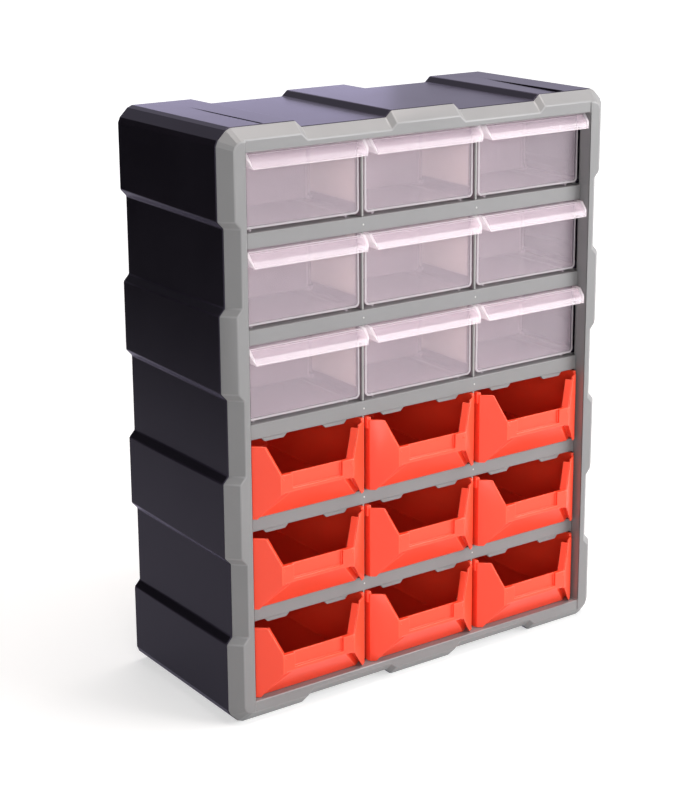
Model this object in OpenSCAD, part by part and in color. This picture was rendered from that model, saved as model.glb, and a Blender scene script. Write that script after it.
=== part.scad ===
// Parts bin cabinet: a moulded casing closed by a front frame, three columns by six rows.
// The upper three rows hold clear drawers, the lower three rows hold open-front bins.
// Millimetres, +Z up, front towards -Y, origin at the middle of the footprint.
// Inside the modules y = 0 is the front plane of the frame and y grows towards the back.

/* [Cabinet] */
// Overall width
cabinet_w = 380; // [360:1:430]
// Overall height
cabinet_h = 475; // [462:1:520]
// Depth from the front plane of the frame to the back
cabinet_d = 160; // [140:1:200]
// Wall thickness of the casing
wall = 2.2; // [1.6:0.1:2.8]
// Chamfer on the four long corners
corner = 10.5; // [9:0.5:13]
// Length of the small second chamfer at each end of the corner chamfer
corner_ease = 2.5; // [1:0.1:3]
// How far each side and the top lean in towards the back
draft = 0.8; // [0:0.1:2]
// How much each raised band narrows at each edge towards the back
band_draft = 1.7; // [0:0.1:3]
// Bevel around the back edge
back_edge = 1.2; // [0.5:0.1:2]

/* [Stepped outline] */
// Depth of the recesses between the raised bands
step = 5; // [3:0.5:6]
// Length of the slope between a band and a recess
slope = 5.5; // [3:0.5:8]
// Height of each band and recess on the sides
side_pitch = 66.2; // [60:0.2:70]
// Width of the middle band on top and bottom
top_band_w = 67.2; // [50:0.2:90]
// Width of the two recesses on top and bottom
top_recess_w = 83.6; // [70:0.2:90]
// Distance of the two top grooves from the middle
groove_x = 148; // [135:1:165]
// Width of a top groove
groove_w = 2.8; // [1:0.1:4]
// Depth of a top groove at its front end, it runs out towards the back
groove_d = 1.5; // [0.5:0.1:1.8]
// Distance of the front end of a top groove from the seam
groove_y = 2; // [1:0.5:10]
// Length over which a top groove runs out
groove_l = 110; // [60:1:130]

/* [Front frame] */
// Width of each stile, outer edge to opening
stile_w = 20; // [18:0.5:24]
// Height of the header and of the sill
rail_h = 18.5; // [17:0.5:24]
// Bevel between the front plane and the casing
bevel = 10; // [7:0.5:11]
// Depth of the wall around the opening
frame_d = 14; // [12:0.5:17]
// Wall thickness of the frame
frame_wall = 2.2; // [1.6:0.1:2.6]
// How far the header and the sill lie behind the stiles
setback = 1; // [0.4:0.1:1.2]
// Length of the spigot that plugs into the casing
spigot_l = 8; // [5:0.5:14]
// Wall thickness of the spigot
spigot_t = 1.8; // [1.2:0.1:2.4]
// Clearance between spigot and casing
spigot_gap = 0.15; // [0.05:0.05:0.3]
// Seam between frame and casing
seam = 0.3; // [0.1:0.1:0.8]

/* [Shelves] */
// Height of the front band of a shelf
band_h = 12; // [9:0.5:14]
// Thickness of the front band
band_t = 3; // [2:0.5:3.5]
// Distance of the front band behind the front plane
band_y = 11; // [9:0.5:12]
// Thickness of the shelf plate
shelf_t = 2.5; // [1.6:0.1:3.5]
// Gap between the front band and the frame's opening
band_gap = 0.3; // [0.1:0.1:0.6]
// Gap between a shelf and the casing's walls
shelf_gap = 0.5; // [0.3:0.1:0.8]
// Height of the stiffening flange at the back of a shelf
flange_h = 6; // [3:0.5:8]
// Thickness of the stiffening flange
flange_t = 2; // [1:0.5:3]
// Height of the guide ribs at the ends of a shelf
guide_h = 5; // [3:0.5:8]
// Thickness of the guide ribs
guide_t = 1.6; // [1:0.1:2]
// Width of a stop tab where it leaves the band
tab_w = 24; // [18:1:30]
// Width of a stop tab at its lower edge
tab_w_low = 17.5; // [12:0.5:18]
// Height of a stop tab
tab_h = 3.2; // [2:0.1:3.6]
// Distance of a stop tab from the middle of its cell
tab_x = 28.5; // [20:0.5:34]
// Setback of a stop tab behind the front of the band
tab_back = 0.4; // [0.2:0.1:1]
// Width of the side ledges that carry the shelves
ledge_w = 10; // [7:0.5:12]
// Height of a ledge
ledge_h = 3; // [2:0.5:4]
// Clearance above and below a shelf in its lap joints and ledges
lap_gap = 0.2; // [0.1:0.05:0.3]

/* [Partitions] */
// Thickness of a partition
partition_t = 1.6; // [1.2:0.1:2.4]
// Setback of its front edge behind the front plane
partition_y = 12; // [11:0.5:15]
// Height of its tongue above the opening
tongue_h = 5.5; // [3:0.5:7]
// Thickness of the guide ribs in the casing on each side of it
clip_t = 2; // [1.2:0.1:2.4]
// Reach of the guide ribs from the casing's back wall
clip_l = 5.5; // [3:0.5:6]
// Clearance of a partition in its guides and slots
clip_gap = 0.3; // [0.15:0.05:0.5]

/* [Clear drawers] */
// Gap between a drawer and the side of its cell
drawer_gap = 1.9; // [1.2:0.1:3]
// Front plane of a drawer behind the front plane of the frame
drawer_y = 13; // [12:0.5:15]
// Length of a drawer, front to back, in a cabinet 160 deep
drawer_l = 137; // [100:1:137]
// Wall thickness
drawer_wall = 1.8; // [1.2:0.1:2.4]
// Height of the floor above the shelf
drawer_lift = 2.8; // [1.5:0.1:5]
// Top edge of the side walls above the shelf
drawer_side_h = 57; // [40:1:59]
// Radius of the lower corners
drawer_r = 4; // [2.6:0.1:8]
// Gap between the lip and the ceiling of the cell
lip_gap = 0.5; // [0.3:0.1:1.5]
// Reach of the lip in front of the frame
lip_out = 2.4; // [1:0.1:4]
// Height of the lip
lip_h = 12.2; // [10:0.1:14]
// Wall thickness of the lip
lip_t = 1.6; // [1.2:0.1:2]
// How much wider than the drawer the lip is at each end of its top
lip_over = 1.5; // [0.5:0.1:1.6]
// How much each end of the lip tapers in towards its lower edge
lip_taper = 3.5; // [0:0.5:6]
// Distance of a runner rib from the middle of the drawer
runner_x = 44; // [30:1:46]
// Width of a runner rib
runner_w = 2; // [1.2:0.1:4]
// Height of the clearance under the runner ribs and under the bins
slide_gap = 0.3; // [0.1:0.1:0.5]

/* [Drawer dividers] */
// Middle of the divider behind the front plane of the frame
divider_y = 83.3; // [60:0.1:110]
// Thickness of the divider
divider_t = 1.8; // [1.2:0.1:2.2]
// Height of the divider
divider_h = 44; // [30:1:50]
// Clearance of the divider in its slots, each side
divider_gap = 0.3; // [0.2:0.05:0.5]
// Width of a slot rib
slot_rib_w = 2.4; // [1.2:0.1:4]
// Depth of a slot rib
slot_rib_d = 2.2; // [1.2:0.1:4]

/* [Bins] */
// Gap between a bin's side wall and the side of its cell
bin_gap = 2.1; // [1.6:0.1:3]
// Wall thickness
bin_wall = 1.8; // [1.4:0.1:2.4]
// Reach of the label front before the front plane of the frame
bin_out = 6.5; // [5:0.5:9]
// Length of a bin, front to back, in a cabinet 160 deep
bin_l = 156.5; // [120:0.5:157]
// Top edge of the side walls above the shelf
bin_h = 61.8; // [60.6:0.1:62.4]
// Top edge of the back wall above the shelf
bin_back_h = 59; // [50:0.5:59]
// Width of the label front
label_w = 68.6; // [60:0.2:72]
// Top edge of the label front above the shelf
label_h = 36; // [32:0.5:42]
// Lower edge of the label front above the shelf
label_low = 21.5; // [18:0.5:23]
// Width of the label recess
recess_w = 47; // [36:0.5:54]
// Height of the edge below the label recess
recess_z = 24; // [23.5:0.5:28]
// Depth of the label recess
recess_d = 2.5; // [1:0.1:3]
// Angle of the cheeks from the front
cheek_a = 35; // [30:1:38]
// Top edge of the cheeks above the shelf
cheek_h = 59.5; // [56:0.5:60]
// How far the cut-away edge leans out from label to cheek top
cheek_cut = 10.1; // [6:0.1:12]
// Reach of the thick cut-away edge into the bin
edge_d = 5; // [3:0.5:7]
// Thickness of the cut-away edge
edge_t = 1.9; // [1.2:0.1:2.5]
// Top of the thick cut-away edge above the shelf
edge_h = 57.5; // [46:0.5:58]
// How far the sloped front panel goes back from label to floor
slope_run = 14.5; // [10:0.5:17]
// How far the lower tip of a cheek lies outside the label's edge
fin_tip = 15.2; // [8:0.1:16.5]
// Depth of the pockets between the sloped panel and the cheeks
pocket_d = 5; // [3:0.5:7]
// Width of these pockets
pocket_w = 6.5; // [4:0.5:9]
// Top of these pockets above the shelf
pocket_z = 20; // [16:0.5:21]
// Height of the rim band on the outside of the side walls
rim_h = 9.4; // [5:0.1:14]
// Thickness of the rim band
rim_t = 1.4; // [0.6:0.1:1.5]

/* [Back wall keyholes] */
// Distance of each keyhole from the middle
keyhole_x = 120; // [60:1:140]
// Height of the keyholes
keyhole_z = 412; // [330:1:420]
// Diameter of the head hole
keyhole_d = 9; // [7:0.5:12]
// Width of the shank slot
keyhole_slot = 4.5; // [3.5:0.5:6]
// Length of the shank slot
keyhole_l = 9; // [6:0.5:14]

/* [Hidden] */
$fn = 48;
eps = 0.01;
cols = 3;
rows = 6;
opening_w = cabinet_w - 2 * stile_w;
opening_h = cabinet_h - 2 * rail_h;
col_pitch = opening_w / cols;
row_pitch = (opening_h + band_h) / rows;
cell_h = row_pitch - band_h;
cell_half = (col_pitch - partition_t) / 2;
y_mid = (cabinet_d - max(bin_out, lip_out)) / 2;
inner_y = cabinet_d - wall;
casing_y = bevel + seam;
// shelves and partitions
wing_y = max(bevel + spigot_l, frame_d) + shelf_gap;
band_half = opening_w / 2 - band_gap;
shelf_half = cabinet_w / 2 - step - wall - draft - shelf_gap;
shelf_back = inner_y - shelf_gap;
lap_y = (band_y + shelf_back) / 2;
// a deeper cabinet has drawers and bins that are longer by as much
deeper = cabinet_d - 160;
slot_w = partition_t + 2 * clip_gap;
groove_end = bevel + groove_y + groove_l;
// drawers
drawer_half = cell_half - drawer_gap;
drawer_back = drawer_y + drawer_l + deeper;
lip_z = cell_h - lip_gap;
lip_half = drawer_half + lip_over;
// bins
bin_half = cell_half - bin_gap;
bin_back = bin_l - bin_out + deeper;
label_half = label_w / 2;
fin_x = label_half + fin_tip;

// ---- helpers ----

// Columns count from the left, rows from the bottom; shelf k is the ceiling of row k - 1
function col_x(c) = (c - 1) * col_pitch;
function row_z(r) = rail_h + r * row_pitch;

// Copies i = 1..9 of drawers and bins run left to right and top to bottom
function copy_x(i) = col_x((i - 1) % cols);
function drawer_z(i) = row_z(rows - 1 - floor((i - 1) / cols));
function bin_z(i) = row_z(rows - 4 - floor((i - 1) / cols));

module placed(x = 0, z = 0) translate([x, -y_mid, z]) children();

// A profile drawn in X and Z, extruded from y0 to y1
module along_y(y0, y1) translate([0, y1, 0]) rotate([90, 0, 0]) linear_extrude(y1 - y0) children();

// A profile drawn in Y and Z, extruded from x0 to x1
module along_x(x0, x1) translate([x0, 0, 0]) rotate([90, 0, 90]) linear_extrude(x1 - x0) children();

module box(x0, x1, y0, y1, z0, z1) translate([x0, y0, z0]) cube([x1 - x0, y1 - y0, z1 - z0]);

module both_sides() {
    children();
    mirror([1, 0, 0]) children();
}

// ---- stepped outline ----

// The right side of the outline from bottom to top, at half width x, band edges moved in by s
function side_points(x, s) = [
    for (i = [0:5])
        let (m = cabinet_h / 2 + (i - 2.5) * side_pitch, falling = i % 2 == 0, d = falling ? -s : s)
            each [
                [falling ? x : x - step, m - slope / 2 + d],
                [falling ? x - step : x, m + slope / 2 + d]
            ]
];

// The right half of the top, from the corner to the middle, at height z, the step going by dz
function top_points(z, dz, s) =
    let (out = top_band_w / 2 + top_recess_w, mid = top_band_w / 2, h = slope / 2)
        [[out + h + s, z], [out - h + s, z - dz], [mid + h - s, z - dz], [mid - h - s, z]];

// The four points of the upper right corner, from the side to the top
function corner_points(x, z, c, e) = [
    [x, z - c - e],
    [x - e * 0.707, z - c + e * 0.707],
    [x - c + e * 0.707, z - e * 0.707],
    [x - c - e, z]
];

function flip_x(p) = [for (i = [len(p) - 1:-1:0]) [-p[i].x, p[i].y]];
function flip_z(p) = [for (i = [len(p) - 1:-1:0]) [p[i].x, -p[i].y]];

// Right half of the outline, from the bottom middle to the top middle
function half_outline(ins, lean, s) =
    let (
        x = cabinet_w / 2 - ins - lean,
        top = cabinet_h - ins - lean,
        c = max(corner - 0.586 * ins, 1),
        e = min(corner_ease, 0.4 * c)
    )
        concat(
            flip_z(concat(corner_points(x, -ins, c, e), top_points(-ins, step, s))),
            side_points(x, s),
            corner_points(x, top, c, e),
            top_points(top, step, s)
        );

function outline(ins, lean = 0, s = 0) =
    let (h = half_outline(ins, lean, s))
        concat(h, flip_x(h));

// How much of the draft is reached at depth y
function share(y) = (y - bevel) / (cabinet_d - bevel);
function casing_ring(y, ins) = outline(ins, draft * share(y), band_draft * share(y) + 0.41 * ins);

// A closed skin over rings of equally many points, each ring at its own depth,
// with each end closed by triangles around the middle of the outline
module loft(ys, rings) {
    n = len(rings[0]);
    last = len(ys) - 1;
    ends = (last + 1) * n;
    polyhedron(
        points = concat(
            [for (j = [0:last]) for (p = rings[j]) [p.x, ys[j], p.y]],
            [for (j = [0, last]) [0, ys[j], cabinet_h / 2]]
        ),
        faces = concat(
            [for (i = [0:n - 1]) [ends, (i + 1) % n, i]],
            [
                for (j = [0:last - 1])
                    for (i = [0:n - 1])
                        let (k = (i + 1) % n)
                            [j * n + i, j * n + k, (j + 1) * n + k, (j + 1) * n + i]
            ],
            [for (i = [0:n - 1]) [ends + 1, last * n + i, last * n + (i + 1) % n]]
        ),
        convexity = 6
    );
}

// ---- casing ----

module casing_block(ins) {
    loft(
        [casing_y, cabinet_d - back_edge, cabinet_d],
        [
            casing_ring(casing_y, ins),
            casing_ring(cabinet_d - back_edge, ins),
            casing_ring(cabinet_d, ins + back_edge)
        ]
    );
}

module keyhole() {
    along_y(inner_y - 1, cabinet_d + 1) {
        translate([keyhole_x, keyhole_z]) circle(d = keyhole_d);
        translate([keyhole_x - keyhole_slot / 2, keyhole_z]) square([keyhole_slot, keyhole_l]);
        translate([keyhole_x, keyhole_z + keyhole_l]) circle(d = keyhole_slot);
    }
}

// Ledges under and over the end of each shelf
module shelf_ledges() {
    x0 = shelf_half - ledge_w + shelf_gap;
    for (k = [0:rows - 1]) {
        z = row_z(k);
        box(x0, cabinet_w / 2, wing_y, inner_y + eps, z - shelf_t - ledge_h, z - shelf_t);
        if (k > 0) box(x0, cabinet_w / 2, wing_y, inner_y + eps, z + lap_gap, z + lap_gap + ledge_h);
    }
}

// Ribs under the base shelf, and rib pairs that hold a partition at the top and at the back
module partition_clips(x) {
    for (s = [-1, 1]) {
        x0 = x + s * (slot_w + clip_t) / 2 - clip_t / 2;
        box(x0, x0 + clip_t, wing_y + 2, shelf_back - clip_l, row_z(0) + opening_h + 2, cabinet_h);
        box(x0, x0 + clip_t, inner_y - clip_l, inner_y + eps, row_z(0), row_z(0) + opening_h + 2);
        box(x0, x0 + clip_t, wing_y, inner_y + eps, 0, row_z(0) - shelf_t);
    }
}

module casing() {
    color("#2e2a32") placed() {
        difference() {
            casing_block(0);
            loft([bevel, inner_y], [casing_ring(bevel, wall), casing_ring(inner_y, wall)]);
            both_sides() keyhole();
            both_sides() along_x(groove_x - groove_w / 2, groove_x + groove_w / 2)
                polygon([
                    [bevel + groove_y, cabinet_h + 0.1],
                    [bevel + groove_y, cabinet_h - groove_d],
                    [groove_end, cabinet_h - draft * share(groove_end) + 0.05],
                    [groove_end, cabinet_h + 0.1]
                ]);
        }
        intersection() {
            casing_block(wall / 2);
            union() {
                both_sides() shelf_ledges();
                both_sides() partition_clips(col_pitch / 2);
            }
        }
    }
}

// ---- front frame ----

module front_frame() {
    q = wall + spigot_gap;
    inner = q + spigot_t;
    skin = bevel + 1.414 * frame_wall;
    color("#9b9d9b") placed() difference() {
        union() {
            loft([0, bevel], [outline(bevel), outline(0)]);
            loft([bevel - 2, bevel + spigot_l], [outline(q, 0, 0.41 * q), outline(q, 0, 0.41 * q)]);
        }
        // the hollow rear, all but the wall around the opening
        difference() {
            loft(
                [frame_wall, skin - inner, bevel + spigot_l + 1],
                [outline(skin - frame_wall), outline(inner), outline(inner)]
            );
            box(
                -opening_w / 2 - frame_wall, opening_w / 2 + frame_wall,
                0, frame_d,
                rail_h - frame_wall, cabinet_h - rail_h + frame_wall
            );
        }
        box(-opening_w / 2, opening_w / 2, -1, cabinet_d, rail_h, cabinet_h - rail_h);
        for (z = [0, cabinet_h - rail_h - 1])
            box(-opening_w / 2, opening_w / 2, -1, setback, z - 1, z + rail_h + 2);
    }
}

// ---- shelves ----

module shelf_plate(z, front) {
    box(-band_half, band_half, front, wing_y + eps, z - shelf_t, z);
    box(-shelf_half, shelf_half, wing_y, shelf_back, z - shelf_t, z);
    both_sides() box(cell_half + col_pitch, cell_half + col_pitch + guide_t,
        wing_y, shelf_back - clip_l, z - eps, z + guide_h);
}

module tab() {
    along_y(band_y + tab_back, band_y + band_t)
        polygon([[-tab_w / 2, eps], [-tab_w_low / 2, -tab_h], [tab_w_low / 2, -tab_h], [tab_w / 2, eps]]);
}

module shelf(k) {
    z = row_z(k);
    color("#9b9d9b") placed() difference() {
        union() {
            box(-band_half, band_half, band_y, band_y + band_t, z - band_h, z);
            shelf_plate(z, band_y);
            box(-shelf_half + ledge_w, shelf_half - ledge_w,
                shelf_back - clip_l - flange_t, shelf_back - clip_l, z - shelf_t - flange_h, z);
            if (k <= 3)
                for (c = [0:cols - 1])
                    for (s = [-1, 1]) translate([col_x(c) + s * tab_x, 0, z - band_h]) tab();
        }
        // slots for the partitions, from the middle to the back
        both_sides() box(col_pitch / 2 - slot_w / 2, col_pitch / 2 + slot_w / 2,
            lap_y, cabinet_d, z - band_h - 1, z + 1);
        // the casing's rib pairs pass behind the flange
        both_sides() box(col_pitch / 2 - slot_w / 2 - clip_t - shelf_gap, col_pitch / 2 + slot_w / 2 + clip_t + shelf_gap,
            inner_y - clip_l - shelf_gap, cabinet_d, z - band_h - 1, z + 1);
    }
}

module base_shelf() {
    z = row_z(0);
    color("#8f918f") placed() difference() {
        shelf_plate(z, frame_d + band_gap);
        both_sides() box(col_pitch / 2 - slot_w / 2 - clip_t - shelf_gap, col_pitch / 2 + slot_w / 2 + clip_t + shelf_gap,
            inner_y - clip_l - shelf_gap, cabinet_d, z - band_h, z + guide_h + 1);
    }
}

// ---- partitions ----

module partition(x) {
    x0 = x - partition_t / 2;
    x1 = x + partition_t / 2;
    base = row_z(0);
    ceiling = base + opening_h;
    color("#c9c6cb") placed() difference() {
        union() {
            box(x0, x1, partition_y, shelf_back, base, ceiling - lap_gap);
            box(x0, x1, frame_d + band_gap, shelf_back, ceiling - 1, ceiling + tongue_h);
        }
        for (k = [1:rows - 1]) {
            z = row_z(k);
            box(x0 - 1, x1 + 1, 0, band_y + band_t + lap_gap, z - band_h - lap_gap, z + lap_gap);
            box(x0 - 1, x1 + 1, 0, lap_y + lap_gap, z - shelf_t - lap_gap, z + lap_gap);
        }
    }
}

// ---- clear drawers ----

// A rectangle in X and Z with both lower corners rounded
module trough(half, z0, z1, r) {
    translate([-half, z0 + r]) square([2 * half, z1 - z0 - r]);
    translate([-half + r, z0]) square([2 * (half - r), r + eps]);
    for (s = [-1, 1]) translate([s * (half - r), z0 + r]) circle(r);
}

// The lip's outer skin in Y and Z, t is the inset of the hollow
module lip_profile(t) {
    z = lip_z - t;
    low = lip_z - lip_h;
    polygon([
        [drawer_y + drawer_wall / 2, z],
        [drawer_y - 7 + 0.4 * t, z - 0.5],
        [drawer_y - 13 + t, z - 7 + 0.6 * t],
        [-lip_out + 1.05 * t, t > 0 ? low - 1 : low],
        [drawer_y + drawer_wall / 2, t > 0 ? low - 1 : low]
    ]);
}

module lip_ends(t) {
    half = lip_half - t;
    polygon([
        [-half, lip_z + 1], [half, lip_z + 1],
        [half - 0.25 * lip_taper, lip_z - lip_h / 2],
        [half - lip_taper, lip_z - lip_h],
        [half - lip_taper, lip_z - lip_h - 2],
        [-half + lip_taper, lip_z - lip_h - 2],
        [-half + lip_taper, lip_z - lip_h],
        [-half + 0.25 * lip_taper, lip_z - lip_h / 2]
    ]);
}

module lip_block(t) {
    intersection() {
        along_x(-lip_half, lip_half) lip_profile(t);
        along_y(-lip_out - 1, drawer_y + drawer_wall) lip_ends(t);
    }
}

module drawer(i) {
    low = drawer_lift;
    floor_z = low + drawer_wall;
    inner = drawer_half - drawer_wall;
    slot = divider_t / 2 + divider_gap;
    color([0.93, 0.9, 0.94, 0.45]) placed(copy_x(i), drawer_z(i)) {
        difference() {
            union() {
                along_y(drawer_y, drawer_back) trough(drawer_half, low, drawer_side_h, drawer_r);
                box(-drawer_half, drawer_half, drawer_y, drawer_y + drawer_wall, drawer_side_h - 1, lip_z);
                difference() {
                    lip_block(0);
                    difference() {
                        lip_block(lip_t);
                        box(-drawer_half, drawer_half, drawer_y, drawer_back, 0, cell_h);
                    }
                }
            }
            along_y(drawer_y + drawer_wall, drawer_back - drawer_wall)
                trough(inner, floor_z, cell_h, drawer_r - drawer_wall);
        }
        // slot ribs for the divider
        both_sides() for (y = [divider_y - slot - slot_rib_w, divider_y + slot])
            box(inner - slot_rib_d, inner + eps, y, y + slot_rib_w, floor_z - eps, drawer_side_h - 3);
        // runner ribs
        both_sides() box(runner_x - runner_w / 2, runner_x + runner_w / 2,
            drawer_y + 3, drawer_back - 4, slide_gap, low + eps);
    }
}

module divider(i) {
    inner = drawer_half - drawer_wall - divider_gap;
    floor_z = drawer_lift + drawer_wall;
    color([0.9, 0.87, 0.92, 0.45]) placed(copy_x(i), drawer_z(i))
        along_y(divider_y - divider_t / 2, divider_y + divider_t / 2)
            trough(inner, floor_z, floor_z + divider_h, drawer_r - drawer_wall + divider_gap);
}

// ---- bins ----

// The cheek line in plan, moved in by t: x at a given y, and y at a given x
function cheek_x(y, t = 0) =
    label_half - t * sin(cheek_a) + (y + bin_out - t * cos(cheek_a)) / tan(cheek_a);
function cheek_y(x, t = 0) =
    -bin_out + t * cos(cheek_a) + (x - label_half + t * sin(cheek_a)) * tan(cheek_a);

// Depth of the sloped panel's outer face at height z
function panel_y(z) = -bin_out + (label_low - z) * slope_run / label_low;

module bin_plan(t, front) {
    half = bin_half - t;
    corner_y = cheek_y(half, t);
    polygon([
        [-half, bin_back - t], [-half, corner_y], [-cheek_x(front, t), front],
        [cheek_x(front, t), front], [half, corner_y], [half, bin_back - t]
    ]);
}

// All that lies before the sloped panel's face moved back by d, up to height top
module before_panel(d, top) {
    along_x(-bin_half, bin_half)
        polygon([
            [-bin_out - 5, -1], [panel_y(-1) + d, -1],
            [panel_y(top) + d, top], [-bin_out - 5, top]
        ]);
}

// A strip in plan along the inside of the right cheek, from t to t + w in X
module cheek_strip(t, w) {
    y0 = -bin_out - 1;
    y1 = cheek_y(bin_half) + 12;
    translate([0, 0, -2]) linear_extrude(label_low + 4)
        polygon([
            [cheek_x(y0, t), y0], [cheek_x(y1, t), y1],
            [cheek_x(y1, t) - w, y1], [cheek_x(y0, t) - w, y0]
        ]);
}

module between_cheeks() {
    y0 = -bin_out - 1;
    y1 = cheek_y(bin_half) + 12;
    translate([0, 0, -2]) linear_extrude(label_low + 4)
        polygon([
            [-cheek_x(y0, bin_wall), y0], [cheek_x(y0, bin_wall), y0],
            [cheek_x(y1, bin_wall), y1], [-cheek_x(y1, bin_wall), y1]
        ]);
}

module bin_cavity() {
    difference() {
        translate([0, 0, slide_gap + bin_wall]) linear_extrude(cell_h)
            bin_plan(bin_wall, -bin_out + recess_d + bin_wall);
        before_panel(1.2 * bin_wall, label_low);
        both_sides() intersection() {
            before_panel(pocket_d + 1.2 * bin_wall, pocket_z + bin_wall);
            cheek_strip(0, pocket_w + 3 * bin_wall);
        }
    }
}

// Below the edge of the label the right cheek is cut back to a slanted free edge
module fin_cut() {
    intersection() {
        along_y(-bin_out - 1, cheek_y(bin_half) + 5)
            polygon([
                [label_half - 6, pocket_z], [label_half, pocket_z],
                [fin_x, slide_gap], [fin_x, -1], [label_half - 6, -1]
            ]);
        cheek_strip(-1, (bin_wall + 1.6) / sin(cheek_a));
    }
}

// All that is cut away before the sloped panel, its side pockets and the free edges of the cheeks
module front_cut() {
    intersection() {
        before_panel(0, label_low);
        between_cheeks();
    }
    both_sides() intersection() {
        before_panel(pocket_d, pocket_z);
        union() {
            cheek_strip(bin_wall, pocket_w);
            fin_cut();
        }
    }
}

// The thick cut-away edge of the right cheek, a rib square to the cheek on its inside
module cut_edge() {
    lean = cheek_cut / cos(cheek_a) / (cheek_h - label_h);
    root = label_h - 2 * edge_t;
    translate([label_half, -bin_out, 0]) rotate([0, 0, cheek_a])
        along_y(bin_wall / 2, edge_d + bin_wall)
            polygon([for (p = [[0, root], [0, edge_h], [edge_t, edge_h], [edge_t, root]])
                [p.x + (p.y - label_h) * lean, p.y]]);
}

module bin(i) {
    cut_x = label_half + cheek_cut;
    corner_y = cheek_y(bin_half);
    color("#ff5a3d") placed(copy_x(i), bin_z(i)) {
        difference() {
            union() {
                translate([0, 0, slide_gap]) linear_extrude(bin_h - slide_gap) bin_plan(0, -bin_out);
                both_sides() box(bin_half - bin_wall / 2, bin_half + rim_t, corner_y + bin_wall, bin_back, bin_h - rim_h, bin_h);
            }
            bin_cavity();
            // open front between the cheeks, and the lower tops of cheeks and back wall
            along_y(-bin_out - 1, corner_y + bin_wall)
                polygon([
                    [-label_half, label_h], [label_half, label_h], [cut_x, cheek_h], [cut_x, cell_h],
                    [-cut_x, cell_h], [-cut_x, cheek_h]
                ]);
            box(-bin_half - 1, bin_half + 1, -bin_out - 1, corner_y + 1, cheek_h, cell_h);
            box(-bin_half + bin_wall, bin_half - bin_wall, bin_back - bin_wall - 1, bin_back + 1, bin_back_h, cell_h);
            box(-recess_w / 2, recess_w / 2, -bin_out - 1, -bin_out + recess_d, recess_z, cell_h);
            front_cut();
        }
        both_sides() cut_edge();
    }
}

casing();
front_frame();
base_shelf();
shelf(1);  // shelf_1
shelf(2);  // shelf_2
shelf(3);  // shelf_3
shelf(4);  // shelf_4
shelf(5);  // shelf_5
partition(-col_pitch / 2);  // partition_left
partition(col_pitch / 2);  // partition_right
drawer(1);  // drawer_1
drawer(2);  // drawer_2
drawer(3);  // drawer_3
drawer(4);  // drawer_4
drawer(5);  // drawer_5
drawer(6);  // drawer_6
drawer(7);  // drawer_7
drawer(8);  // drawer_8
drawer(9);  // drawer_9
divider(1);  // divider_1
divider(2);  // divider_2
divider(3);  // divider_3
divider(4);  // divider_4
divider(5);  // divider_5
divider(6);  // divider_6
divider(7);  // divider_7
divider(8);  // divider_8
divider(9);  // divider_9
bin(1);  // bin_1
bin(2);  // bin_2
bin(3);  // bin_3
bin(4);  // bin_4
bin(5);  // bin_5
bin(6);  // bin_6
bin(7);  // bin_7
bin(8);  // bin_8
bin(9);  // bin_9
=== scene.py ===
# %% [markdown]
# # A parts bin cabinet
# A small cabinet for screws and parts: a black stepped shell, a grey front frame, nine clear
# drawers and nine orange-red bins. The CAD model is loaded first as a fixed frame. All that
# follows gives it the rounded edges, finishes, light and view of the real, moulded object.

import math

import bmesh
import bpy
from mathutils import Matrix, Vector


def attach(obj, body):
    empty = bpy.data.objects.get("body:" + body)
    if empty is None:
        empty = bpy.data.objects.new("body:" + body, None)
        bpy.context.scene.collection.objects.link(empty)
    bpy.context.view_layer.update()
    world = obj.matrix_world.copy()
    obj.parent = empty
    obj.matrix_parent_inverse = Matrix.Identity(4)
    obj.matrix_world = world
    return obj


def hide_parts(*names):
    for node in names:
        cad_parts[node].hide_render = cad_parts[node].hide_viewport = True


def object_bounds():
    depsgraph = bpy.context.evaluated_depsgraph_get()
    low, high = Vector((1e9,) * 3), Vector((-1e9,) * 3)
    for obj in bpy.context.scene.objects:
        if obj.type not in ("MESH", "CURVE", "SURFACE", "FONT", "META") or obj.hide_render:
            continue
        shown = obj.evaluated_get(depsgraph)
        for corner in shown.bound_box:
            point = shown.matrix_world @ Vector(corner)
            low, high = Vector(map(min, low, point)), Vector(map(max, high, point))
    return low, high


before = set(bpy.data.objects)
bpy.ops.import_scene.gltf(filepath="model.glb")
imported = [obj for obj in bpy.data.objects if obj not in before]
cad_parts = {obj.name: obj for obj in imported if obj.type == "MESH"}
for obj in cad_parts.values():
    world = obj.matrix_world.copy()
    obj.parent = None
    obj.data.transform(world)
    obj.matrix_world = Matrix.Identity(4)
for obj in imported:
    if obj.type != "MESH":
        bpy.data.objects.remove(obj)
cad_low, cad_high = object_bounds()
MM = 0.001
print("cabinet measures", [round((b - a) / MM, 1) for a, b in zip(cad_low, cad_high)], "mm")

# %% [markdown]
# ## Colours and nodes
# Colours are written as sRGB hex values, as in any paint program. Shaders work with linear
# light, so one function turns them. A second one adds a shader node, sets its values and
# makes its links in one call, which keeps the materials below short enough to read.

# %% Colour and node helpers
def linear(hex_colour):
    parts = [int(hex_colour[i:i + 2], 16) / 255 for i in (1, 3, 5)]
    return [c / 12.92 if c <= 0.04045 else ((c + 0.055) / 1.055) ** 2.4 for c in parts] + [1.0]


def add(tree, kind, inputs=None, **settings):
    made = tree.nodes.new(kind)
    for name, value in settings.items():
        setattr(made, name, value)
    for socket, value in (inputs or {}).items():
        if isinstance(value, bpy.types.NodeSocket):
            tree.links.new(value, made.inputs[socket])
        else:
            made.inputs[socket].default_value = value
    return made


def new_material(name):
    material = bpy.data.materials.new(name)
    material.use_nodes = True
    tree = material.node_tree
    tree.nodes.clear()
    return material, tree


print("mid grey is", round(linear("#808080")[0], 3), "in linear light")

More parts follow.
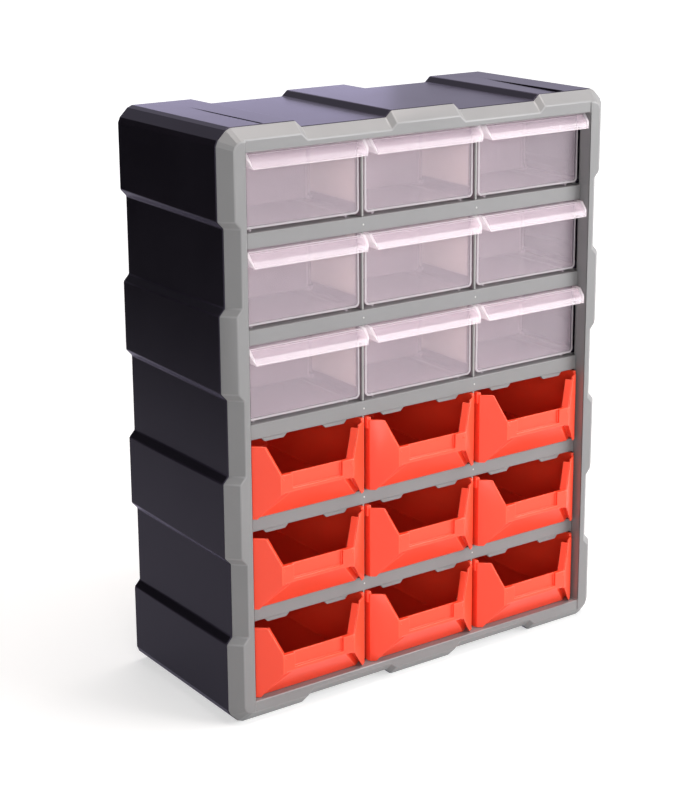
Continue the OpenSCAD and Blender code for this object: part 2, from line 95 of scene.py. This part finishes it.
# %% [markdown]
# ## The camera
# The cabinet is seen from the front left and a little from above. A long lens from about one
# and a half metres keeps its upright edges nearly parallel. The small shift moves the picture
# without turning the camera, as a view camera does.

# %% Place the camera
def look(azimuth, elevation):
    a, e = math.radians(azimuth), math.radians(elevation)
    return Vector((math.sin(a) * math.cos(e), math.cos(a) * math.cos(e), -math.sin(e)))


camera_data = bpy.data.cameras.new("camera")
camera_data.sensor_width = 36
camera_data.lens = 85.1
camera_data.shift_x = -0.05
camera_data.shift_y = -0.10
camera_data.clip_start = 0.05
camera_data.clip_end = 60
camera = bpy.data.objects.new("camera", camera_data)
camera.location = (-0.889, -1.227, 0.688)
camera.rotation_mode = "QUATERNION"
camera.rotation_quaternion = look(36.31, 14.70).to_track_quat("-Z", "Y")
bpy.context.scene.collection.objects.link(camera)
bpy.context.scene.camera = camera
bpy.context.scene.view_settings.view_transform = "Standard"
print("camera is", round(camera.location.length, 2), "m from the cabinet's foot")

# %% [markdown]
# ## Floor and surroundings
# The cabinet stands on a white sweep in a white studio. The floor is a matt white sheet. To
# the eye, and in reflections, it gets the last bit of white that a lit sheet lacks, so that it
# runs out into the white world without a horizon, and it still shows the cabinet's shadow. On
# the far left it is filled up for the eye alone, over the shadow of a black card beside it.

# %% Helpers for the floor and the world
def put_in_scene(name, shape, material):
    """Makes a finished bmesh an object with one material."""
    mesh = bpy.data.meshes.new(name)
    shape.to_mesh(mesh)
    shape.free()
    mesh.materials.append(material)
    made = bpy.data.objects.new(name, mesh)
    bpy.context.scene.collection.objects.link(made)
    return made


def backdrop_rays(tree):
    """1 for what the eye sees, directly or by a mirror image or a clear wall, otherwise 0."""
    path = add(tree, "ShaderNodeLightPath")
    seen = path.outputs["Is Camera Ray"]
    for way in ("Is Glossy Ray", "Is Transmission Ray"):
        seen = add(tree, "ShaderNodeMath", {0: seen, 1: path.outputs[way]},
                   operation="MAXIMUM").outputs[0]
    return seen


# %% Make floor and world
CARD_X = -0.62  # where the black card stands that is placed with the lamps
FILL_X = -0.35  # from here to the card, the floor is filled up more and more


def white_floor():
    material, tree = new_material("matt_white_sweep")
    sheet = add(tree, "ShaderNodeBsdfDiffuse", {"Color": linear("#C8C8C8")})
    place = add(tree, "ShaderNodeTexCoord").outputs["Object"]
    far = add(tree, "ShaderNodeVectorMath", {0: place}, operation="LENGTH").outputs["Value"]
    level = add(tree, "ShaderNodeMapRange", {"Value": far, "From Min": 0.7, "From Max": 2.6,
                                             "To Min": 0.56, "To Max": 1.0},
                interpolation_type="SMOOTHSTEP")
    lift = add(tree, "ShaderNodeMath", {0: backdrop_rays(tree), 1: level.outputs[0]},
               operation="MULTIPLY")
    across = add(tree, "ShaderNodeSeparateXYZ", {0: place}).outputs["X"]
    direct = add(tree, "ShaderNodeLightPath").outputs["Is Camera Ray"]
    filled = add(tree, "ShaderNodeMapRange", {"Value": across, "From Min": FILL_X,
                                              "From Max": CARD_X, "To Max": direct},
                 interpolation_type="SMOOTHSTEP")
    white = add(tree, "ShaderNodeMath", {0: lift.outputs[0], 1: filled.outputs[0]},
                operation="MAXIMUM")
    glow = add(tree, "ShaderNodeEmission", {"Strength": white.outputs[0]})
    both = add(tree, "ShaderNodeAddShader", {0: sheet.outputs[0], 1: glow.outputs[0]})
    add(tree, "ShaderNodeOutputMaterial", {"Surface": both.outputs[0]})
    return material


def white_world(ambient):
    world = bpy.data.worlds.new("white_studio")
    bpy.context.scene.world = world
    world.use_nodes = True
    tree = world.node_tree
    tree.nodes.clear()
    level = add(tree, "ShaderNodeMapRange", {"Value": backdrop_rays(tree), "To Min": ambient,
                                             "To Max": 1.0})
    sky = add(tree, "ShaderNodeBackground", {"Color": linear("#FFFFFF"),
                                             "Strength": level.outputs[0]})
    add(tree, "ShaderNodeOutputWorld", {"Surface": sky.outputs[0]})


sweep = bmesh.new()
bmesh.ops.create_grid(sweep, x_segments=1, y_segments=1, size=20)
put_in_scene("floor", sweep, white_floor())
white_world(ambient=0.18)
print("floor and white world made")

# %% [markdown]
# ## Lamps
# Four softboxes light the cabinet. A wide, slightly warm one hangs above it. The strongest one
# stands at the front right, high enough to keep its mirror image out of the clear drawers, and
# a weaker one fills in from the front left. A small cool one behind gives the black top its
# sheen. A black card on the left keeps the white studio out of the black side.

# %% Place the lamps
def softbox(name, place, target, size, watts, colour=(1.0, 1.0, 1.0)):
    data = bpy.data.lights.new(name, "AREA")
    data.color = colour
    data.shape = "RECTANGLE"
    data.size, data.size_y = size
    data.energy = watts
    lamp = bpy.data.objects.new(name, data)
    lamp.location = place
    lamp.rotation_mode = "QUATERNION"
    lamp.rotation_quaternion = (Vector(target) - Vector(place)).to_track_quat("-Z", "Y")
    bpy.context.scene.collection.objects.link(lamp)


def black_card(name, centre, length, height):
    """An upright black card that runs from front to back."""
    upright = Matrix.Translation(centre) @ Matrix.Rotation(math.radians(90), 4, "Y")
    shape = bmesh.new()
    bmesh.ops.create_grid(shape, x_segments=1, y_segments=1, size=0.5,
                          matrix=upright @ Matrix.Diagonal((height, length, 1, 1)))
    material, tree = new_material("black_velvet")
    cloth = add(tree, "ShaderNodeBsdfDiffuse", {"Color": linear("#060606")})
    add(tree, "ShaderNodeOutputMaterial", {"Surface": cloth.outputs[0]})
    card = put_in_scene(name, shape, material)
    card.visible_camera = False


middle = (cad_low + cad_high) / 2
top_rear = (-0.1, 0.08, 0.475)
softbox("top_softbox", (0.3, -0.1, 2.2), middle, (1.6, 1.2), 42, (1.0, 0.92, 0.88))
softbox("key_softbox", (1.58, -1.58, 1.05), middle, (1.7, 1.2), 56)
softbox("fill_softbox", (-1.25, -2.1, 0.75), middle, (1.2, 1.0), 20)
softbox("rear_softbox", (0.2, 0.58, 0.57), top_rear, (0.4, 0.1), 0.25, (0.86, 0.82, 1.0))
black_card("left_flag", (CARD_X, 1.275, 0.65), 2.25, 1.3)
print("four softboxes and a black card placed")

# %% [markdown]
# ## Moulded plastics
# All opaque parts but the partitions are injection moulded. The tool's surface leaves a fine
# grain, slow cooling leaves faint waves, and the rounded corners are drawn in a lighter colour,
# for wear from handling and as a painted highlight. One recipe gives them these three; colour,
# grain and gloss differ from part to part. The real grain is about a tenth of a millimetre wide.
# It is drawn about ten times as coarse, or it wouldn't show.

# %% The recipe for an opaque moulding
WAVE_MM = 45  # length of the cooling waves


def schlick(tree, normal, least, most=0.85):
    """The share of light that is reflected: the least from the front, the most at a low angle."""
    facing = add(tree, "ShaderNodeLayerWeight", {"Blend": 0.5, "Normal": normal}).outputs["Facing"]
    steep = add(tree, "ShaderNodeMath", {0: facing, 1: 5.0}, operation="POWER").outputs[0]
    return add(tree, "ShaderNodeMapRange", {"Value": steep, "To Min": least,
                                            "To Max": most}).outputs[0]


def moulded_plastic(name, colour, wear_and_highlight_colour, rough, grain_mm, grain_depth_mm, glance=None):
    material, tree = new_material(name)
    place = add(tree, "ShaderNodeTexCoord").outputs["Object"]
    wave = add(tree, "ShaderNodeTexNoise", {"Vector": place, "Scale": 1000 / WAVE_MM,
                                            "Detail": 3.0}).outputs["Fac"]
    grain = add(tree, "ShaderNodeTexNoise", {"Vector": place, "Scale": 1000 / grain_mm,
                                             "Detail": 2.0}).outputs["Fac"]
    corner = add(tree, "ShaderNodeAttribute", attribute_name="edge").outputs["Fac"]
    tint = add(tree, "ShaderNodeMapRange", {"Value": wave, "To Min": 0.94, "To Max": 1.06})
    body = add(tree, "ShaderNodeVectorMath", {0: linear(colour)[:3], "Scale": tint.outputs[0]},
               operation="SCALE")
    # Rounded faces take the lighter colour: wear, and a painted highlight along each edge
    mixed = add(tree, "ShaderNodeMix", {"Factor": corner, "A": body.outputs[0],
                                        "B": linear(wear_and_highlight_colour)},
                data_type="RGBA")
    gloss = add(tree, "ShaderNodeMapRange", {"Value": wave, "From Min": 0.3, "From Max": 0.7,
                                             "To Min": rough - 0.02,
                                             "To Max": rough + 0.02}).outputs[0]
    bump = add(tree, "ShaderNodeBump", {"Height": grain, "Distance": grain_depth_mm * MM,
                                        "Strength": 1.0}).outputs[0]
    shader = add(tree, "ShaderNodeBsdfPrincipled", {
        "Base Color": mixed.outputs["Result"], "Roughness": gloss, "Normal": bump, "IOR": 1.49,
        "Specular IOR Level": 0.5 if glance is None else 0.0})
    if glance is not None:
        film = add(tree, "ShaderNodeBsdfGlossy", {"Color": linear(glance), "Normal": bump,
                                                  "Roughness": gloss})
        shader = add(tree, "ShaderNodeMixShader", {0: schlick(tree, bump, 0.02, 0.42),
                                                   1: shader.outputs[0], 2: film.outputs[0]})
    add(tree, "ShaderNodeOutputMaterial", {"Surface": shader.outputs[0]})
    return material


# %% Make the opaque plastics
# The second colour of each is that of its rounded edges: wear and a painted highlight
# Black polypropylene with a spark-eroded grain: deep black, a soft sheen at a low angle
black_plastic = moulded_plastic("black_polypropylene", "#1B181F", "#26222C", 0.3, 1.1, 0.01,
                                glance="#E9E4FF")
# Grey polypropylene, satin: an even mid grey with a trace of green
grey_plastic = moulded_plastic("grey_polypropylene", "#828283", "#8C8C8D", 0.42, 0.9, 0.015)
# Orange-red polypropylene, a polished tool: bright, with a low gloss
red_plastic = moulded_plastic("orange_red_polypropylene", "#FF4C30", "#FF5C3E", 0.36, 1.6, 0.01)
print("opaque plastics:", ", ".join(m.name for m in (black_plastic, grey_plastic, red_plastic)))

# %% [markdown]
# ## Places in a compartment
# A clear wall looks milkier where one looks along it, or through two layers of it. These
# places are the same in all drawers, so the material finds them from a point's place in its
# compartment: one column and one row repeat over the whole front. A zone is a box of such
# lengths with soft ends. Some zones carry a painted highlight in the drawers and a painted
# shade in the partitions.

# %% Find the places
FRONT = -76.75 * MM  # the front plane of the grey frame, because y = 0 is at half depth
HALF_COLUMN = 56.667 * MM  # from the middle of a column to the partition beside it
FIRST_SHELF = 18.5 * MM  # height of the base shelf's top
ROW = 75 * MM  # from one shelf's top to the next


def cell_place(tree):
    """Distance from the middle of a column, depth behind the front plane, height over a shelf."""
    place = add(tree, "ShaderNodeTexCoord").outputs["Object"]
    moved = add(tree, "ShaderNodeVectorMath", {0: place, 1: (0, FRONT, FIRST_SHELF)},
                operation="SUBTRACT").outputs[0]
    x, depth, z = add(tree, "ShaderNodeSeparateXYZ", {0: moved}).outputs
    side = add(tree, "ShaderNodeMath", {0: x, 1: HALF_COLUMN}, operation="PINGPONG").outputs[0]
    height = add(tree, "ShaderNodeMath", {0: z, 1: ROW}, operation="FLOORED_MODULO").outputs[0]
    return side, depth, height


def zone(tree, share, *limits):
    """A share that holds inside all its limits and is 0 outside them.

    A limit is a length, its low and its high end and half the width of the soft step at each,
    all three in millimetres. Each Map Range node hands the share on to the next.
    """
    for length, low_mm, high_mm, soft_mm in limits:
        for end_mm, outwards_mm in ((low_mm, -soft_mm), (high_mm, soft_mm)):
            share = add(tree, "ShaderNodeMapRange", {
                "Value": length, "From Min": (end_mm + outwards_mm) * MM,
                "From Max": (end_mm - outwards_mm) * MM, "To Max": share}).outputs[0]
    return share


print("a compartment is", round(2 * HALF_COLUMN / MM, 1), "mm wide and", round(ROW / MM, 1),
      "mm high")

# %% [markdown]
# ## Clear and milky polystyrene
# The drawers are clear polystyrene that has turned slightly milky. Their walls are thin, so
# light goes nearly straight through and isn't bent to the eye. Three things are mixed: an open
# share, a share of milk that sends light back and on, and a reflection that grows towards a low
# angle, after Schlick's rule. Rounded edges, the slot ribs, the floor and the front get more
# milk, most of all the strip of the front that has a wall standing behind it edge on. On the
# rounded edges and on that strip the extra white milk is a painted highlight.

# %% Where a drawer looks milky
HALF_FRONT = 53.967 * MM  # half the width of a drawer's front
FRONT_FOOT = 2.8 * MM  # its lower edge's height over the shelf
CORNER = 4 * MM  # radius of its lower corners


def drawer_milk_and_highlight(tree):
    """How milky a drawer looks: the rim of its front, whiter as a painted highlight, its slot
    ribs, its lip and its floor.
    """
    side, depth, height = cell_place(tree)
    seat = add(tree, "ShaderNodeCombineXYZ", {"X": side, "Z": height}).outputs[0]
    # How far a point lies sideways and downwards of the front's inner part
    over = add(tree, "ShaderNodeVectorMath", {
        0: seat, 1: (1, 0, -1), 2: (CORNER - HALF_FRONT, 0, FRONT_FOOT + CORNER)},
        operation="MULTIPLY_ADD").outputs[0]
    out = add(tree, "ShaderNodeVectorMath", {0: over, 1: (0, 0, 0)}, operation="MAXIMUM")
    reach = add(tree, "ShaderNodeVectorMath", {0: out.outputs[0]},
                operation="LENGTH").outputs["Value"]
    # The strip of the front that has a side wall or the floor behind it, drawn whiter: a painted
    # highlight
    highlight_rim = zone(tree, 1.0, (reach, 2.2, 9, 0.3), (depth, -5, 13.6, 0.3))
    # The two ribs on each side wall that hold the divider, and a wider place at their foot
    rib = zone(tree, 1.0, (side, 50.2, 57, 0.3), (depth, 80.5, 86, 0.3))
    rib_foot = zone(tree, 1.0, (side, 50.2, 57, 0.3), (depth, 77.5, 89, 0.3), (height, 0, 8, 2))
    # The whole front a little, the lip on top of it a trace more, and the floor
    front = zone(tree, 0.34, (depth, -5, 15.2, 0.3))
    lip = zone(tree, 0.03, (depth, -5, 13.2, 0.3), (height, 49.5, 64, 0.3))
    front_and_lip = add(tree, "ShaderNodeMath", {0: front, 1: lip}, operation="ADD").outputs[0]
    most = zone(tree, 0.4, (height, 0, 4.9, 0.3))
    # The milkiest of the zones that a point is in counts
    for share in (highlight_rim, rib, rib_foot, front_and_lip):
        most = add(tree, "ShaderNodeMath", {0: most, 1: share}, operation="MAXIMUM").outputs[0]
    return most


# %% Make the clear plastics
RIPPLE_MM, RIPPLE_DEPTH_MM = 30, 0.05  # length and depth of the ripples in a clear wall


def clear_plastic(name, colour, edge_colour, haze, milk_and_highlight_haze, onward=0.4, milk_places=None):
    material, tree = new_material(name)
    place = add(tree, "ShaderNodeTexCoord").outputs["Object"]
    wave = add(tree, "ShaderNodeTexNoise", {"Vector": place, "Scale": 1000 / RIPPLE_MM,
                                            "Detail": 2.0}).outputs["Fac"]
    bump = add(tree, "ShaderNodeBump", {"Height": wave, "Distance": RIPPLE_DEPTH_MM * MM,
                                        "Strength": 1.0}).outputs[0]
    level = add(tree, "ShaderNodeMapRange", {"Value": wave, "From Min": 0.3, "From Max": 0.7,
                                             "To Min": haze * 0.9, "To Max": haze * 1.1})
    corner = add(tree, "ShaderNodeAttribute", attribute_name="edge").outputs["Fac"]
    if milk_places is not None:
        corner = add(tree, "ShaderNodeMath", {0: corner, 1: milk_places(tree)},
                     operation="MAXIMUM").outputs[0]
    # Bevel faces and the milk places get more, whiter milk; on the bevels and the front's rim it
    # is a painted highlight
    milkiness = add(tree, "ShaderNodeMix", {"Factor": corner, "A": level.outputs[0],
                                            "B": milk_and_highlight_haze}, data_type="FLOAT").outputs["Result"]
    tint = add(tree, "ShaderNodeMix", {"Factor": corner, "A": linear(colour),
                                       "B": linear(edge_colour)},
               data_type="RGBA").outputs["Result"]
    back = add(tree, "ShaderNodeBsdfDiffuse", {"Color": tint, "Normal": bump}).outputs[0]
    on = add(tree, "ShaderNodeBsdfTranslucent", {"Color": tint}).outputs[0]
    milk = add(tree, "ShaderNodeMixShader", {0: onward, 1: back, 2: on}).outputs[0]
    clear = add(tree, "ShaderNodeBsdfTransparent", {"Color": linear("#FFFCFB")}).outputs[0]
    body = add(tree, "ShaderNodeMixShader", {0: milkiness, 1: clear, 2: milk}).outputs[0]
    gloss = add(tree, "ShaderNodeBsdfGlossy", {"Roughness": 0.24, "Normal": bump}).outputs[0]
    surface = add(tree, "ShaderNodeMixShader", {0: schlick(tree, bump, 0.035), 1: body, 2: gloss})
    add(tree, "ShaderNodeOutputMaterial", {"Surface": surface.outputs[0]})
    return material


# Clear polystyrene, a little milky: pinkish lilac where it's lit, with a painted highlight of
# whiter milk along its edges
milky_clear = clear_plastic("milky_clear_polystyrene", "#F6E2F6", "#FFFAFF", 0.06, 0.55,
                            milk_places=drawer_milk_and_highlight)
# The divider plate is frosted, so it stands out as a pale pane inside the drawer; its rounded
# edges get a painted highlight
frosted_clear = clear_plastic("frosted_clear_polystyrene", "#FCECF8", "#FFFAFF", 0.36, 0.6,
                              onward=0.3)
print("clear plastics:", ", ".join(m.name for m in (milky_clear, frosted_clear)))

# %% [markdown]
# ## The partitions' sheet
# The upright sheets between the columns are white and let light on, so they glow softly with
# what is behind them. Along the front and along each shelf the sheet is drawn as a dull
# mauve-grey surface that lets no light on: a painted shade. Its front edge is drawn grey.

# %% Make the partitions' sheet
CLOUD_MM = 60  # length of the uneven spots in the white sheet


def milky_sheet(name, colour, edge_colour, painted_shade_colour):
    material, tree = new_material(name)
    place = add(tree, "ShaderNodeTexCoord").outputs["Object"]
    depth, height = cell_place(tree)[1:]
    edge = zone(tree, 1.0, (depth, 0, 13.8, 0.3))
    # Painted shade: near the front and along the foot the sheet is darker and lets no light on
    painted_shade_front = zone(tree, 1.0, (depth, 0, 21, 1))
    painted_shade_foot = zone(tree, 1.0, (height, 0, 10, 1))
    painted_shade = add(tree, "ShaderNodeMath", {0: painted_shade_front, 1: painted_shade_foot},
               operation="MAXIMUM").outputs[0]
    wave = add(tree, "ShaderNodeTexNoise", {"Vector": place, "Scale": 1000 / CLOUD_MM,
                                            "Detail": 2.0}).outputs["Fac"]
    share = add(tree, "ShaderNodeMapRange", {"Value": wave, "From Min": 0.3, "From Max": 0.7,
                                             "To Min": 0.68, "To Max": 0.74}).outputs[0]
    onward = add(tree, "ShaderNodeMapRange", {"Value": painted_shade, "To Min": share,
                                              "To Max": 0.0}).outputs[0]
    sheet = add(tree, "ShaderNodeMix", {"Factor": painted_shade, "A": linear(colour),
                                        "B": linear(painted_shade_colour)},
                data_type="RGBA").outputs["Result"]
    tint = add(tree, "ShaderNodeMix", {"Factor": edge, "A": sheet, "B": linear(edge_colour)},
               data_type="RGBA").outputs["Result"]
    back = add(tree, "ShaderNodeBsdfPrincipled", {"Base Color": tint, "Roughness": 0.4,
                                                  "IOR": 1.49}).outputs[0]
    on = add(tree, "ShaderNodeBsdfTranslucent", {"Color": tint}).outputs[0]
    surface = add(tree, "ShaderNodeMixShader", {0: onward, 1: back, 2: on})
    add(tree, "ShaderNodeOutputMaterial", {"Surface": surface.outputs[0]})
    return material


# White translucent sheet, extruded: satin, glows softly with light behind; painted shade at front
# and foot
white_sheet = milky_sheet("white_translucent_sheet", "#FFF8F4", "#9A9A99", "#8C7C84")
print("partitions:", white_sheet.name)

# %% [markdown]
# ## Rounded edges
# No moulded edge is sharp: it has a radius of a few tenths of a millimetre, and that thin
# strip catches the light. Each CAD solid has sharp edges, so a copy of it is merged, its
# flat triangles are joined to whole faces, and its edges are bevelled. The bevel's own faces
# are marked in an attribute, for the materials to read: they draw these faces lighter, a
# painted highlight, on the opaque parts also wear. The two thin grooves in the top keep sharp
# edges, because they run out to nothing, where a bevel would overlap itself.

# %% Copy a CAD node with rounded edges
GROOVE_X, GROOVE_HALF = 148 * MM, 1.6 * MM  # the top grooves' middle, and a little over half width
GROOVE_LOW = 472.5 * MM  # just under their floor
SAME_POINT = 0.01 * MM  # corners closer than this are one corner
SAME_PLANE = math.radians(1)  # neighbouring faces that turn by less are one face
SHARP = math.radians(28)  # an edge is rounded where its two faces turn by more than this
SHORTEST = 1.0 * MM  # and where it is longer than this


def in_top_groove(point):
    return point.z > GROOVE_LOW and abs(abs(point.x) - GROOVE_X) < GROOVE_HALF


def is_corner(edge):
    return (len(edge.link_faces) == 2 and edge.calc_length() > SHORTEST
            and edge.calc_face_angle(0) > SHARP
            and not all(in_top_groove(vert.co) for vert in edge.verts))


def rounded(node, piece, material, body, radius_mm):
    shape = bmesh.new()
    shape.from_mesh(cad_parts[node].data)
    bmesh.ops.remove_doubles(shape, verts=shape.verts, dist=SAME_POINT)
    bmesh.ops.dissolve_limit(shape, angle_limit=SAME_PLANE, verts=shape.verts, edges=shape.edges)
    bmesh.ops.connect_verts_concave(shape, faces=shape.faces)
    corners = [edge for edge in shape.edges if is_corner(edge)]
    edge_mark = shape.faces.layers.float.new("edge")
    made = bmesh.ops.bevel(shape, geom=corners, affect="EDGES", offset=radius_mm * MM,
                           offset_type="OFFSET", segments=2, profile=0.5, material=-1,
                           clamp_overlap=False)
    for face in made["faces"]:
        face[edge_mark] = 1.0
        face.smooth = True
    solid = put_in_scene(piece, shape, material)
    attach(solid, body)
    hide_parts(node)
    return solid


# %% Round all nodes
NINE = range(1, 10)
solids = [
    rounded("casing", "casing_shell", black_plastic, "cabinet", 0.8),
    rounded("front_frame", "front_frame_moulding", grey_plastic, "cabinet", 0.8)]
solids += [rounded(node, node + "_moulding", grey_plastic, "cabinet", 0.3)
           for node in ["base_shelf"] + [f"shelf_{k}" for k in range(1, 6)]]
solids += [rounded(node, node + "_sheet", white_sheet, "cabinet", 0.25)
           for node in ("partition_left", "partition_right")]
solids += [rounded(f"drawer_{i}", f"drawer_{i}_tray", milky_clear,
                   f"drawer_{i}_body", 0.4) for i in NINE]
solids += [rounded(f"divider_{i}", f"divider_{i}_plate", frosted_clear,
                   f"drawer_{i}_body", 0.4) for i in NINE]
solids += [rounded(f"bin_{i}", f"bin_{i}_tub", red_plastic, f"bin_{i}_body", 0.4)
           for i in NINE]
print(len(solids), "pieces rounded,", sum(len(s.data.polygons) for s in solids), "faces")

# %% [markdown]
# ## Gate marks
# Melt enters each shelf's mould through two gates in its front band, in line with the
# partitions. Where the gate is torn off, a small pip stays. It is drawn pale: torn plastic
# whitens, and the paleness is also a painted highlight. A low cone is enough for it.

# %% Make the gate marks
MARK_Y = FRONT + 10.9 * MM  # middle of a mark, a tenth of a millimetre before its band
BAND_HALF = 6 * MM  # half the height of a shelf's front band, under the shelf's top


def gate_marks(name, places, material):
    turn = Matrix.Rotation(math.radians(90), 4, "X")
    shape = bmesh.new()
    for x, z in places:
        bmesh.ops.create_cone(shape, cap_ends=True, segments=16, radius1=0.8 * MM,
                              radius2=0.5 * MM, depth=0.3 * MM,
                              matrix=Matrix.Translation((x, MARK_Y, z)) @ turn)
    marks = put_in_scene(name, shape, material)
    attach(marks, "cabinet")
    return marks


# Torn grey polypropylene turns pale, because its surface is rough and full of fine cracks; the
# pale colour is also a painted highlight on each pip
torn_and_highlit_plastic = moulded_plastic("torn_grey_polypropylene_painted_highlight", "#C6C6C4", "#D2D2D0", 0.6, 0.3, 0.02)
mark_places = [(x, FIRST_SHELF + ROW * k - BAND_HALF)
               for x in (-HALF_COLUMN, HALF_COLUMN) for k in range(1, 6)]
marks = gate_marks("gate_marks", mark_places, torn_and_highlit_plastic)
print(len(mark_places), "gate marks,", len(marks.data.polygons), "faces")
